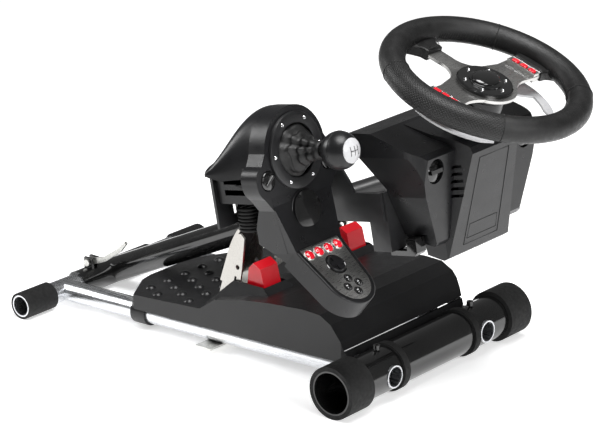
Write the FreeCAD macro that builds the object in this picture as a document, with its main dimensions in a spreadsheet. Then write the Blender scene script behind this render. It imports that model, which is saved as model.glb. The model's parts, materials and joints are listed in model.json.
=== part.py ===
"""Racing wheel set on a folding stand: wheel, wheel base, gear shifter and pedals.

Everything is in millimetres.  X points to the driver's right, Y forward (away from
the driver) and Z up.  The set is in its folded state: the column lies back over the
pedals and the wheel faces up.  The floor is Z = 0.
"""
import FreeCAD, Part
import math
import os
import re

doc = FreeCAD.newDocument("RacingWheelSet")
sheet = doc.addObject("Spreadsheet::Sheet", "Sizes")

DRIVING = (
    ("origin_shift_x", 47.43), ("origin_shift_y", 403.21),
    ("leg_diameter", 31.0), ("leg_wall", 2.0), ("leg_spacing", 202.0), ("leg_reach", 612.0),
    ("rear_tube_diameter", 32.0), ("rear_tube_length", 377.0), ("rear_axis_height", 19.5),
    ("front_tube_diameter", 60.0), ("front_tube_bore", 55.0), ("front_tube_length", 391.0),
    ("front_axis_height", 36.0), ("front_axis_reach", 581.0), ("front_ring_diameter", 72.0),
    ("column_lean", 24.4), ("lower_column_diameter", 38.0), ("upper_column_diameter", 32.6),
    ("lower_column_reach", 330.0), ("upper_column_reach", 608.0),
    ("platform_reach", 612.0), ("platform_height", 300.9), ("platform_lean", 80.0),
    ("platform_half_width", 123.0), ("sheet_metal", 4.0),
    ("base_half_width", 125.0), ("shell_wall", 3.0), ("shell_split", 24.0),
    ("axis_rise", 29.2), ("wheel_diameter", 280.0), ("grip_diameter", 34.0),
    ("spoke_plate", 4.0),
    ("shifter_offset", 212.0), ("shifter_dome", 57.0), ("knob_diameter", 49.0),
    ("console_slope", 43.0), ("panel_half_width", 36.5), ("panel_thickness", 2.0),
    ("pedal_half_width", 21.0), ("pedal_pivot_reach", 306.0), ("pedal_pivot_height", 77.0),
    ("tray_left", 144.0), ("tray_right", 120.0), ("moving_gap", 0.3), ("pin_gap", 0.05),
)

for row, (alias, value) in enumerate(DRIVING, start=1):
    sheet.set("A%d" % row, alias)
    sheet.set("B%d" % row, str(value))
    sheet.setAlias("B%d" % row, alias)
doc.recompute()

SIZES = {alias: float(sheet.get(alias)) for alias, _ in DRIVING}
NODES = []


def vec(x, y, z=0.0):
    return FreeCAD.Vector(x, y, z)


XDIR, YDIR, ZDIR = vec(1, 0, 0), vec(0, 1, 0), vec(0, 0, 1)


def place(x=0.0, y=0.0, z=0.0, axis=ZDIR, angle=0.0):
    return FreeCAD.Placement(vec(x, y, z), FreeCAD.Rotation(axis, angle))


GROUND = place(-SIZES["origin_shift_x"], -SIZES["origin_shift_y"])
COLUMN = GROUND * place(0, 0, SIZES["rear_axis_height"], XDIR, SIZES["column_lean"] - 90)
UPPER = GROUND * place(0, SIZES["platform_reach"], SIZES["platform_height"], XDIR, -SIZES["platform_lean"])
WHEEL = UPPER * place(0, -114, 92, XDIR, 90 - SIZES["axis_rise"])
SHIFTER = UPPER * place(SIZES["shifter_offset"], -72, -56.5)
CONSOLE = SHIFTER * place(0, 122, 15.5, XDIR, SIZES["console_slope"])
LEG_SLOPE = math.degrees(math.atan2(SIZES["front_axis_height"] - SIZES["rear_axis_height"],
                                    SIZES["leg_reach"]))


def bind(obj, prop, value):
    """A number is set as it is; a text is an expression of the sheet's names."""
    if isinstance(value, str):
        obj.setExpression(prop, re.sub(r"([a-z_]{4,})", r"Sizes.\1", value))
    else:
        setattr(obj, prop, value)


def amount(value):
    """The present value of a number or of an expression of the sheet's names."""
    if not isinstance(value, str):
        return float(value)
    total = 0.0
    for sign, term in re.findall(r"([+-]?)\s*([a-z_0-9./* ]+)", value):
        product = 1.0
        for count, factor in enumerate(re.split(r"([*/])", term)):
            if factor.strip() in "*/":
                divide = factor.strip() == "/"
                continue
            number = SIZES.get(factor.strip())
            number = float(factor) if number is None else number
            product = product / number if count and divide else product * number
        total += -product if sign == "-" else product
    return total


def aim(frame, base, direction):
    turn = FreeCAD.Rotation(ZDIR, FreeCAD.Vector(direction))
    return frame * FreeCAD.Placement(vec(*base), turn)


def rod(frame, radius, length, base=(0, 0, 0), direction=ZDIR):
    """A solid cylinder that starts at base."""
    obj = doc.addObject("Part::Cylinder", "rod")
    bind(obj, "Radius", radius)
    bind(obj, "Height", length)
    obj.Placement = aim(frame, base, direction)
    return obj


def ring(frame, outer, inner, length, base=(0, 0, 0), direction=ZDIR):
    """A tube or a washer that starts at base."""
    start = vec(*base) - FreeCAD.Vector(direction).normalize()
    bore = rod(frame, inner, amount(length) + 2, tuple(start), direction)
    return cut(rod(frame, outer, length, base, direction), bore)


def taper(frame, low, high, length, base=(0, 0, 0), direction=ZDIR):
    obj = doc.addObject("Part::Cone", "taper")
    bind(obj, "Radius1", low)
    bind(obj, "Radius2", high)
    bind(obj, "Height", length)
    obj.Placement = aim(frame, base, direction)
    return obj


def ball(frame, radius, base=(0, 0, 0)):
    obj = doc.addObject("Part::Sphere", "ball")
    bind(obj, "Radius", radius)
    obj.Placement = frame * place(*base)
    return obj


def block(frame, low, high):
    """A box between two corners."""
    obj = doc.addObject("Part::Box", "block")
    obj.Length, obj.Width, obj.Height = [high[i] - low[i] for i in range(3)]
    obj.Placement = frame * place(*low)
    return obj


def cut(base, *tools):
    obj = doc.addObject("Part::Cut", "cut")
    obj.Base = base
    obj.Tool = tools[0] if len(tools) == 1 else fuse(*tools)
    return obj


def fuse(*pieces):
    obj = doc.addObject("Part::MultiFuse", "fuse")
    obj.Shapes = list(pieces)
    obj.Refine = True
    return obj


def common(*pieces):
    obj = doc.addObject("Part::MultiCommon", "common")
    obj.Shapes = list(pieces)
    return obj


def group(*pieces):
    obj = doc.addObject("Part::Compound", "group")
    obj.Links = list(pieces)
    return obj


def feature(frame, shape):
    obj = doc.addObject("Part::Feature", "shape")
    obj.Shape = shape
    obj.Placement = frame * obj.Placement
    return obj


def origin_plane(body, role):
    return next(item for item in body.Origin.OriginFeatures if item.Role == role)


def draw(sketch, outline):
    """Lines between the points; a point given as (x, y, mx, my) ends an arc through (mx, my)."""
    last = outline[-1][:2]
    for corner in outline:
        start, end = vec(*last), vec(*corner[:2])
        if len(corner) == 4:
            sketch.addGeometry(Part.Arc(start, vec(corner[2], corner[3]), end))
        else:
            sketch.addGeometry(Part.LineSegment(start, end))
        last = corner[:2]


def pad(frame, outline, thickness, holes=(), slots=(), round_edges=0.0):
    """A PartDesign body padded up from its XY plane, with round holes and shaped slots."""
    body = doc.addObject("PartDesign::Body", "body")
    sketch = body.newObject("Sketcher::SketchObject", "outline")
    sketch.AttachmentSupport = (origin_plane(body, "XY_Plane"), [""])
    sketch.MapMode = "FlatFace"
    if len(outline) == 1:
        sketch.addGeometry(Part.Circle(vec(*outline[0][:2]), ZDIR, outline[0][2]))
    else:
        draw(sketch, outline)
    for x, y, radius in holes:
        sketch.addGeometry(Part.Circle(vec(x, y), ZDIR, radius))
    for slot in slots:
        draw(sketch, slot)
    solid = body.newObject("PartDesign::Pad", "pad")
    solid.Profile = sketch
    bind(solid, "Length", thickness)
    body.Tip = solid
    if round_edges:
        doc.recompute()
        rounding = body.newObject("PartDesign::Fillet", "rounding")
        rounding.Base = (solid, [name for name in top_edges(solid.Shape)])
        rounding.Radius = round_edges
        body.Tip = rounding
    body.Placement = frame
    return body


def top_edges(shape):
    """Names of the edges that lie in the highest plane of a padded shape."""
    top = shape.BoundBox.ZMax
    names = []
    for number, edge in enumerate(shape.Edges, start=1):
        if abs(edge.BoundBox.ZMin - top) < 1e-4:
            names.append("Edge%d" % number)
    return names


def revolve(frame, outline):
    """A body of revolution about its Z axis; the outline is in (radius, height)."""
    body = doc.addObject("PartDesign::Body", "body")
    sketch = body.newObject("Sketcher::SketchObject", "outline")
    sketch.AttachmentSupport = (origin_plane(body, "XZ_Plane"), [""])
    sketch.MapMode = "FlatFace"
    draw(sketch, outline)
    solid = body.newObject("PartDesign::Revolution", "turned")
    solid.Profile = sketch
    solid.ReferenceAxis = (sketch, ["V_Axis"])
    solid.Angle = 360.0
    body.Tip = solid
    body.Placement = frame
    return body


def dome(radius, low, high):
    """The last corner of a turned outline: a spherical crown that ends on the axis."""
    rise = high - low
    sphere = (radius ** 2 + rise ** 2) / (2 * rise)
    half_way = math.asin(min(1.0, radius / sphere)) / 2
    return (0, high, sphere * math.sin(half_way), high - sphere * (1 - math.cos(half_way)))


def side_frame(frame, x):
    """A frame whose pads are drawn in (y, z) and grow towards +X from x."""
    turn = FreeCAD.Rotation(vec(0, 1, 0), vec(0, 0, 1), vec(1, 0, 0), "XYZ")
    return frame * FreeCAD.Placement(vec(x, 0, 0), turn)


def node(label, obj):
    obj.Label = label
    NODES.append(obj)
    return obj


def arc_points(radius, start, end, centre=(0.0, 0.0)):
    """The start, middle and end of an arc, in degrees."""
    angles = [math.radians(value) for value in (start, (start + end) / 2, end)]
    return [(centre[0] + radius * math.cos(a), centre[1] + radius * math.sin(a)) for a in angles]


# ---------------------------------------------------------------- stand

LEG_X = SIZES["leg_spacing"] / 2
SIDES = (("right", 1), ("left", -1))


def leg_direction():
    slope = math.radians(LEG_SLOPE)
    return vec(0, math.cos(slope), math.sin(slope))


def leg_rod(side, radius, start, length):
    """A rod on a leg's axis, start millimetres in front of the rear tube's axis."""
    way = leg_direction()
    base = vec(side * LEG_X, 0, SIZES["rear_axis_height"]) + way * start
    return rod(GROUND, radius, length, tuple(base), way)


def build_stand():
    half_rear = SIZES["rear_tube_length"] / 2
    rear_start = (-half_rear, 0, SIZES["rear_axis_height"])
    node("rear_cross_tube", ring(GROUND, "rear_tube_diameter / 2", "rear_tube_diameter / 2 - leg_wall",
                                 "rear_tube_length", rear_start, XDIR))
    sleeves = []
    for _, side in SIDES:
        start = (side * half_rear - (56 if side > 0 else 0), 0, SIZES["rear_axis_height"])
        sleeves.append(ring(GROUND, "rear_axis_height", "rear_tube_diameter / 2 + pin_gap", 56, start, XDIR))
    node("rear_foot_sleeves", group(*sleeves))

    saddle = rod(GROUND, "rear_tube_diameter / 2 + pin_gap", 260,
                 (-130, 0, SIZES["rear_axis_height"]), XDIR)
    legs = []
    for _, side in SIDES:
        leg = cut(leg_rod(side, "leg_diameter / 2", 4, "leg_reach - 4"),
                  leg_rod(side, "leg_diameter / 2 - leg_wall", 2, "leg_reach + 4"), saddle)
        legs.append(leg)
    node("leg_tubes", group(*legs))
    build_front_tube()


def build_front_tube():
    half = SIZES["front_tube_length"] / 2
    height, reach = SIZES["front_axis_height"], SIZES["front_axis_reach"]
    tube = ring(GROUND, "front_tube_diameter / 2", "front_tube_bore / 2", "front_tube_length",
                (-half, reach, height), XDIR)
    passages = [leg_rod(side, "leg_diameter / 2 + moving_gap", reach - 45, 90) for _, side in SIDES]
    bores = [rod(GROUND, 2.55, 40, (side * LEG_X, reach, height), ZDIR) for _, side in SIDES]
    mouth_radius, mouth_depth = 27.8, 40.0
    mouths = [rod(GROUND, mouth_radius, mouth_depth, (side * (half - mouth_depth), reach, height),
                  vec(side, 0, 0)) for _, side in SIDES]
    node("front_cross_tube", cut(tube, *(passages + bores + mouths)))

    ring_length, band_length = 46, 11
    rings = []
    for _, side in SIDES:
        start = side * half - (ring_length if side > 0 else 0)
        rings.append(ring(GROUND, "front_ring_diameter / 2", "front_tube_diameter / 2 + pin_gap",
                          ring_length, (start, reach, height), XDIR))
        start = side * 77 - band_length / 2
        rings.append(ring(GROUND, "front_tube_diameter / 2 + 3.5", "front_tube_diameter / 2 + pin_gap",
                          band_length, (start, reach, height), XDIR))
    node("front_rubber_rings", group(*rings))

    leg_top = height - 0.8 + SIZES["leg_diameter"] / 2 + 0.3
    screws = []
    for _, side in SIDES:
        shank = rod(GROUND, 2.5, 16.5, (side * LEG_X, reach, leg_top), ZDIR)
        head = rod(GROUND, 4.5, 6.0, (side * LEG_X, reach, leg_top + 16.5), ZDIR)
        socket = rod(GROUND, 2.2, 4.0, (side * LEG_X, reach, leg_top + 19.5), ZDIR)
        screws.append(cut(fuse(shank, head), socket))
    node("leg_lock_screws", group(*screws))


def build_leg_hooks():
    """C-shaped hooks that hold the pedal tray's rear corners to the legs."""
    hooks = []
    for _, side in SIDES:
        clip = cut(leg_rod(side, "leg_diameter / 2 + 3.2", 150, 26),
                   leg_rod(side, "leg_diameter / 2 + pin_gap", 148, 30))
        hooks.append(clip)
    node("leg_hooks", group(*hooks))

    reach, gap = 298.0, 0.6
    under = SIZES["rear_axis_height"] + reach * math.tan(math.radians(LEG_SLOPE))
    under -= SIZES["leg_diameter"] / 2 + gap
    bar = block(GROUND, (-118, reach - 14, under - 3), (131, reach + 14, under))
    holes = [rod(GROUND, 3.0, 8, (x, reach, under - 5), ZDIR) for x in (-60, 60)]
    node("pedal_mount_plate", cut(bar, *holes))


# ---------------------------------------------------------------- pedals

PEDALS = (("gas", 68.0), ("brake", -45.0), ("clutch", -116.0))
SKIRT = 35.0
TRAY_SIDE = [(112, 30), (112, 48), (150, 52), (284, 61), (312, 80), (360, 91), (410, 98), (470, 103),
             (500, 102), (519, 92), (535, 72), (545, 50), (545, SKIRT + 8)]


def tray_plan(inset):
    left, right = -SIZES["tray_left"] + inset, SIZES["tray_right"] - inset
    rear = 110 + inset
    return [(right, 158 + inset * 0.6), (60, rear + 8), (28, rear), (-20, rear), (-58, rear + 8),
            (left, 186 + inset * 0.6), (left, 526), (left + 10, 545 - inset), (right - 4, 545 - inset),
            (right, 536)]


def tray_block(inset):
    """The pedal unit's outer form: its side view and its plan, crossed."""
    side_points = [vec(0, y, z) for y, z in TRAY_SIDE]
    side = Part.Face(Part.makePolygon(side_points + [side_points[0]]))
    if inset:
        side = side.makeOffset2D(-inset)
    side_solid = side.extrude(vec(300, 0, 0))
    side_solid.translate(vec(-160, 0, 0))
    plan_points = [vec(x, y, 0) for x, y in tray_plan(inset)]
    plan = Part.Face(Part.makePolygon(plan_points + [plan_points[0]])).extrude(vec(0, 0, 140))
    solid = side_solid.common(plan)
    if not inset:
        solid = soften(solid, 5.0)
    return solid.Solids[0]


def soften(solid, radius):
    """Rounds the outer edges above the legs, as many as take the radius."""
    edges = [edge for edge in solid.Edges if edge.BoundBox.ZMax > 60 and edge.Length > 12]
    try:
        rounded = solid.makeFillet(radius, edges)
        if rounded.isValid() and rounded.Volume > 0.9 * solid.Volume:
            return rounded
    except Part.OCCError:
        pass
    return solid


def tower(centre):
    """The cone-sided hood that a pedal's arm comes out of."""
    low = [(centre - 44, 286), (centre + 44, 286), (centre + 40, 432), (centre - 40, 432)]
    high = [(centre - 25, 324), (centre + 25, 324), (centre + 23, 376), (centre - 23, 376)]
    wires = []
    for points, height in ((low, 66), (high, 103)):
        corners = [vec(x, y, height) for x, y in points]
        wires.append(Part.makePolygon(corners + [corners[0]]))
    return Part.makeLoft(wires, True, True)


def pedal_well(centre, z_low):
    """The clear space that a pedal and its spring housing need."""
    half = SIZES["pedal_half_width"] + 1.0
    return Part.makeBox(2 * half, 92, 90, vec(centre - half, 285, z_low))


def build_pedal_unit():
    whole = tray_block(0.0)
    hollow = tray_block(SIZES["shell_wall"])
    hollow = hollow.fuse(hollow.translated(vec(0, 0, -10)))
    hoods = [tower(x) for _, x in PEDALS]
    split = Part.makeBox(400, 400, 200, vec(-200, 284, 58))
    legs = []
    for _, side in SIDES:
        way = leg_direction()
        base = vec(side * LEG_X, 0, SIZES["rear_axis_height"])
        legs.append(Part.makeCylinder(SIZES["leg_diameter"] / 2 + 0.4, 700, base, way))
        legs.append(Part.makeBox(SIZES["leg_diameter"] - 1.2, 500, 16,
                                 base + vec(-SIZES["leg_diameter"] / 2 + 0.6, 100, -14)))
    hook = Part.makeCylinder(SIZES["leg_diameter"] / 2 + 3.6, 28,
                             vec(LEG_X, 149, SIZES["rear_axis_height"] + 4), leg_direction())
    hook_left = hook.translated(vec(-2 * LEG_X, 0, 0))
    shell = whole.cut(hollow).cut(Part.makeCompound(legs)).cut(hook).cut(hook_left)
    wells = Part.makeCompound([pedal_well(x, 62) for _, x in PEDALS])

    floor = Part.makeBox(250, 250, 3, vec(-138, 286, 58)).common(whole)
    nubs = []
    for row in range(4):
        for column in range(6):
            x = -96 + column * 36 + (18 if row % 2 else 0)
            y = 158 + row * 30
            nub = Part.makeSphere(9, vec(x, y, 44.6 + (y - 112) * 0.068))
            nubs.append(nub)
    nubs = [nub for nub in nubs if nub.BoundBox.XMax < 112]
    heel_zone = Part.makeBox(400, 180, 60, vec(-200, 112, 50))
    lower = shell.cut(split).fuse(Part.makeCompound(nubs).common(heel_zone))
    for nub in nubs:
        lower = lower.cut(Part.makeBox(18, 18, 10, vec(nub.BoundBox.XMin, nub.BoundBox.YMin, 36)))
    lower = lower.fuse(floor).removeSplitter()
    node("pedal_base", feature(GROUND, keep_biggest(lower)))

    upper = shell.common(split).fuse(Part.makeCompound(hoods).cut(hollow)).cut(wells)
    floor_clear = Part.makeBox(400, 300, 3.4, vec(-200, 284, 57.6))
    upper = upper.cut(floor_clear.common(Part.makeBox(258, 300, 10, vec(-140, 284, 55))))
    node("pedal_top_case", feature(GROUND, keep_biggest(upper.removeSplitter())))


def keep_biggest(shape):
    """The largest solid of a shape, without the slivers that a cut can leave."""
    return max(shape.Solids, key=lambda solid: solid.Volume)


def build_pedals():
    pivot_y, pivot_z = SIZES["pedal_pivot_reach"], SIZES["pedal_pivot_height"]
    half = SIZES["pedal_half_width"]
    plate = [(292, 72), (300, 67, 294, 67), (330, 86), (337, 122), (343, 166), (336, 172), (326, 168),
             (312, 132)]
    face = [(296, 97), (300, 96), (316, 137, 309, 116), (336, 176, 325, 157), (332, 178),
            (311, 138, 320, 159)]
    pins, housings = [], []
    for name, centre in PEDALS:
        plates = [pad(side_frame(GROUND, centre + x), plate, 3.0,
                      holes=((pivot_y, pivot_z, 3.05), (329, 122, 3.4)))
                  for x in (-half, half - 3.0)]
        tread = pad(side_frame(GROUND, centre - half), face, "pedal_half_width * 2")
        tube = ring(GROUND, 5.5, 3.05, 2 * half - 5.9, (centre - half + 2.95, pivot_y, pivot_z), XDIR)
        node(name + "_pedal", fuse(plates[0], plates[1], tread, tube))
        pins.append(rod(GROUND, 3.0, 2 * half + 1.6, (centre - half - 0.8, pivot_y, pivot_z), XDIR))
        inner = half - 3.6
        spring_case = [(338, 64), (370, 64), (374, 98), (367, 126), (355, 133), (346, 124)]
        housings.append(pad(side_frame(GROUND, centre - inner), spring_case, 2 * inner))
    node("pedal_pivot_pins", group(*pins))
    node("spring_housings", group(*housings))


# ---------------------------------------------------------------- column

def build_column():
    clearance = SIZES["rear_tube_diameter"] / 2 + 0.15
    barrel = ring(GROUND, 19.2, clearance, 150, (-75, 0, SIZES["rear_axis_height"]), XDIR)
    tube = rod(COLUMN, "lower_column_diameter / 2", "lower_column_reach - 10", (0, 0, 10))
    collar = rod(COLUMN, 23.5, 26, (0, 0, SIZES["lower_column_reach"] - 30))
    mouth = SIZES["lower_column_reach"]
    lug = block(COLUMN, (-9, -36, mouth - 27), (9, -16, mouth - 7))
    bore = rod(COLUMN, "upper_column_diameter / 2 + pin_gap", 400, (0, 0, 44))
    through = rod(GROUND, clearance, 150, (-75, 0, SIZES["rear_axis_height"]), XDIR)
    lugs = [block(GROUND, (x, -8, 36), (x + 4, 8, 53)) for x in (36.0, 47.0)]
    bolt_hole = rod(GROUND, 3.05, 30, (30, 0, 46), XDIR)
    node("column_lower", cut(fuse(barrel, tube, collar, lug, *lugs), bore, through, bolt_hole))

    upper = ring(COLUMN, "upper_column_diameter / 2", "upper_column_diameter / 2 - 2.4",
                 "upper_column_reach - 210", (0, 0, 210))
    node("column_upper", upper)

    hub = rod(GROUND, 6.5, 6.4, (40.3, 0, 46), XDIR)
    bolt = rod(GROUND, 3.0, 21, (33, 0, 46), XDIR)
    nut = rod(GROUND, 5.0, 3.0, (51.3, 0, 46), XDIR)
    arm = pad(side_frame(GROUND, 41.5), [(2, 41), (30, 52), (62, 74), (74, 88), (71, 91), (58, 79),
                                         (26, 58), (-2, 51)], 4.0)
    node("fold_clamp_lever", fuse(hub, bolt, nut, arm))


PIVOT_Y, PIVOT_Z = 12.0, -36.0


def build_platform():
    cheek = [(-3, -36), (27, -36, 12, -21), (24, -60), (26, -84), (4, -84)]
    cheeks = [pad(side_frame(UPPER, x), cheek, 4.0, holes=((PIVOT_Y, PIVOT_Z, 4.05),)) for x in (-26.0, 22.0)]
    socket = cut(block(UPPER, (-22, -2, -84), (22, 34, -58)),
                 rod(COLUMN, "upper_column_diameter / 2 + pin_gap", 700, (0, 0, 20)))
    node("tilt_bracket", fuse(cheeks[0], cheeks[1], socket))

    half, metal = SIZES["platform_half_width"], SIZES["sheet_metal"]
    plate = block(UPPER, (-half, 6, -metal), (half, 84, 0))
    flanges = [block(UPPER, (x, 6, -30), (x + metal, 84, -metal)) for x in (-half, half - metal)]
    lug = [(2, -metal), (-2, -36), (26, -36, 12, -50), (30, -metal)]
    lugs = [pad(side_frame(UPPER, x), lug, 4.0) for x in (-30.4, 26.4)]
    pivot = rod(UPPER, 4.0, 66, (-33, PIVOT_Y, PIVOT_Z), XDIR)
    heads = [rod(UPPER, 7.5, 5, (x, PIVOT_Y, PIVOT_Z), XDIR) for x in (-35.4, 30.4)]
    holes = [rod(UPPER, 3.2, 8, (x, y, -6)) for x in (-80, 80) for y in (20, 64)]
    node("platform_plate", cut(fuse(plate, pivot, *(flanges + lugs + heads)), *holes))

    arm = [(6, -3), (44, -3), (44, -96), (16, -147.5), (-50, -147.5), (-50, -76), (-10, -52), (6, -46)]
    plate = pad(side_frame(UPPER, half + 0.05), arm, metal)
    deck = block(UPPER, (half + 0.05, -50, -147.5), (278, 16, -143.5))
    slots = [block(UPPER, (x, -36, -150), (x + 8, 4, -140)) for x in (176, 240)]
    node("shifter_bracket", cut(fuse(plate, deck), *slots))


# ---------------------------------------------------------------- wheel base

BASE_SIDE = [(-72, -43), (-71, -6), (-41, 64), (-34, 71), (80, 47), (86, 41), (80, 22), (72, 0.3), (3, 0.3),
             (-58, -43)]
BASE_PLAN = [(-125, -80), (125, -80), (125, -40), (114, 14), (84, 94), (-84, 94), (-114, 14), (-125, -40)]
SPINE_SIDE = [(-69, 0), (-46, 72), (-36, 90), (-27, 92), (107, 42), (111, 34), (104, 8), (70, 4)]


def prism_x(points, half, inset):
    """A side view drawn in (y, z), inset all round, between x = -half and x = half."""
    corners = [vec(0, y, z) for y, z in points]
    face = Part.Face(Part.makePolygon(corners + [corners[0]]))
    if inset:
        face = face.makeOffset2D(-inset)
    solid = face.extrude(vec(2 * (half - inset), 0, 0))
    solid.translate(vec(-half + inset, 0, 0))
    return solid


def prism_y(points, inset):
    """A front view drawn in (x, z), inset all round, along the whole of Y."""
    corners = [vec(x, 0, z) for x, z in points]
    face = Part.Face(Part.makePolygon(corners + [corners[0]]))
    if inset:
        face = face.makeOffset2D(-inset)
    solid = face.extrude(vec(0, 260, 0))
    solid.translate(vec(0, -120, 0))
    return solid


def prism_z(points, inset):
    """A plan drawn in (x, y), inset all round, along the whole of Z."""
    corners = [vec(x, y) for x, y in points]
    face = Part.Face(Part.makePolygon(corners + [corners[0]]))
    if inset:
        face = face.makeOffset2D(-inset)
    solid = face.extrude(vec(0, 0, 260))
    solid.translate(vec(0, 0, -120))
    return solid


def round_shoulder(half, low, top, radius):
    """A front view with both upper corners rounded by short chords."""
    steps = 10
    right = []
    for step in range(steps + 1):
        angle = math.pi / 2 * step / steps
        right.append((half - radius + radius * math.cos(angle), top - radius + radius * math.sin(angle)))
    left = [(-x, z) for x, z in reversed(right)]
    return [(half, low)] + right + left + [(-half, low)]


def base_form(inset):
    """The wheel base's form: a rounded wide body with a raised spine down its middle."""
    half = SIZES["base_half_width"]
    body = prism_x(BASE_SIDE, half, inset).common(prism_y(round_shoulder(half, -60, 78, 34), inset))
    body = body.common(prism_z(BASE_PLAN, inset))
    spine = prism_x(SPINE_SIDE, 46 + 18, inset)
    flank = [(64, -60), (64, 40), (46, 100), (-46, 100), (-64, 40), (-64, -60)]
    spine = spine.common(prism_y(flank, inset))
    return body.fuse(spine).removeSplitter()


def build_wheel_base():
    outer, inner = base_form(0.0), base_form(SIZES["shell_wall"])
    shell = outer.cut(inner)
    axis = vec(0, math.cos(math.radians(SIZES["axis_rise"])), -math.sin(math.radians(SIZES["axis_rise"])))
    centre = vec(0, -114, 92)
    boss = Part.makeCylinder(34, 30, centre + axis * 62, axis)
    boss = boss.cut(inner)
    throat = Part.makeCylinder(17.3, 60, centre + axis * 50, axis)
    shell = shell.fuse(boss).cut(throat)
    for _, side in SIDES:
        shell = shell.cut(Part.makeCylinder(16.0, 60, vec(side * 95, -16, 52), ZDIR))
        cup = Part.makeCylinder(18.5, 30, vec(side * 95, -16, 44), ZDIR)
        cup = cup.cut(Part.makeCylinder(16.0, 30, vec(side * 95, -16, 47), ZDIR)).common(outer)
        cup = cup.cut(Part.makeCylinder(4.3, 30, vec(side * 95, -16, 40), ZDIR))
        shell = shell.fuse(cup)
        for count in range(5):
            slot = Part.makeBox(9, 4.0, 40, vec(side * 58 - 4.5, -14 + count * 9.5, 50))
            shell = shell.cut(slot)
        jaw_slot = Part.makeBox(22, 24, 44, vec(side * 101 - 11, 68, -8))
        shell = shell.cut(jaw_slot)
    split = SIZES["shell_split"]
    low_half = Part.makeBox(400, 400, 100, vec(-200, -200, split - 100))
    node("base_lower_shell", feature(UPPER, keep_biggest(shell.common(low_half))))
    node("base_upper_shell", feature(UPPER, keep_biggest(shell.cut(low_half))))

    for name, side in SIDES:
        x = side * 101
        hook = [(69.5, 14), (69.5, 30), (88, 30), (92, 26), (92, -13), (74, -13), (74, -6.5), (85.5, -6.5),
                (85.5, 14)]
        node("clamp_jaw_" + name, pad(side_frame(UPPER, x - 9.5), hook, 19.0))
        turned = [(0, 48), (13.4, 48), (14.4, 50), (14.4, 62), dome(14.4, 62, 67)]
        stem = rod(UPPER, 4.0, 30, (side * 95, -16, 20))
        knob = revolve(UPPER * place(side * 95, -16, 0), turned)
        grip = block(UPPER, (side * 95 - 11, -18.5, 60), (side * 95 + 11, -13.5, 69.5))
        node("clamp_knob_" + name, fuse(knob, stem, grip))


def build_drive():
    rise = math.radians(SIZES["axis_rise"])
    axle = WHEEL * place(0, 0, -132)
    gear_radius, teeth = 26.0, 48
    shaft = rod(axle, 8.0, 119)
    gear = rod(axle, gear_radius - 1.2, 8, (0, 0, 22))
    cogs = []
    for tooth in range(teeth):
        angle = 2 * math.pi * tooth / teeth
        cogs.append(vec(math.cos(angle), math.sin(angle), 0))
    ring_face = []
    for tooth, way in enumerate(cogs):
        side = vec(-way.y, way.x, 0)
        ring_face += [way * (gear_radius - 1.6) - side * 1.1, way * gear_radius - side * 0.5,
                      way * gear_radius + side * 0.5, way * (gear_radius - 1.6) + side * 1.1]
    toothed = Part.Face(Part.makePolygon(ring_face + [ring_face[0]])).extrude(vec(0, 0, 8))
    toothed.translate(vec(0, 0, 22))
    node("wheel_shaft", fuse(shaft, gear, feature(axle, toothed)))
    bearings = [ring(axle, 13.0, 8.05, 7, (0, 0, z)) for z in (4, 54)]
    node("shaft_bearings", group(*bearings))
    motors = []
    for _, side in SIDES:
        motors.append(rod(UPPER, 17.0, 46, (side * 62, 0, 24), vec(0, math.cos(rise) * 0.8, 0)))
        motors.append(rod(UPPER, 1.6, 7, (side * 62, -7.0, 24), YDIR))
    node("force_motors", group(fuse(motors[0], motors[1]), fuse(motors[2], motors[3])))


# ---------------------------------------------------------------- steering wheel

PLATE_Z = -12.0
BUTTON_X = 84.0
BUTTON_Y = (-13.5, 0.0, 13.5)


def spoke_outline():
    """A T of three spokes whose inner corners are round."""
    right = [(14, -115), (13, -66), (34, -31, 19, -42), (60, -25), (78, -26), (107, -24), (107, 22),
             (78, 22), (58, 20), (34, 27, 46, 22)]
    left = [(-34, 27, 0, 44), (-58, 20, -46, 22), (-78, 22), (-107, 22), (-107, -24), (-78, -26), (-60, -25),
            (-34, -31), (-13, -66, -19, -42), (-14, -115)]
    return right + left


def button_outline(x, y, side, grow):
    """A half oval: straight on the hub's side and round towards the rim."""
    width, high = 4.2 + grow, 4.6 + grow
    flat = x - side * width
    return [(flat, y + high), (flat, y - high, x + side * width, y)]


def web(turn, half, start):
    """The part of the rim that reaches in over a spoke's end and flares into the grip."""
    flare, root = half + 24, 117
    outline = [(start, half), (start, -half), (start + 9, -half - 1), (root, -flare, start + 19, -half - 8),
               (root, flare), (start + 9, half + 1, start + 19, half + 8)]
    return pad(WHEEL * place(0, 0, 0, ZDIR, turn) * place(0, 0, -16), outline, 14.0, round_edges=3.0)


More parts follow.
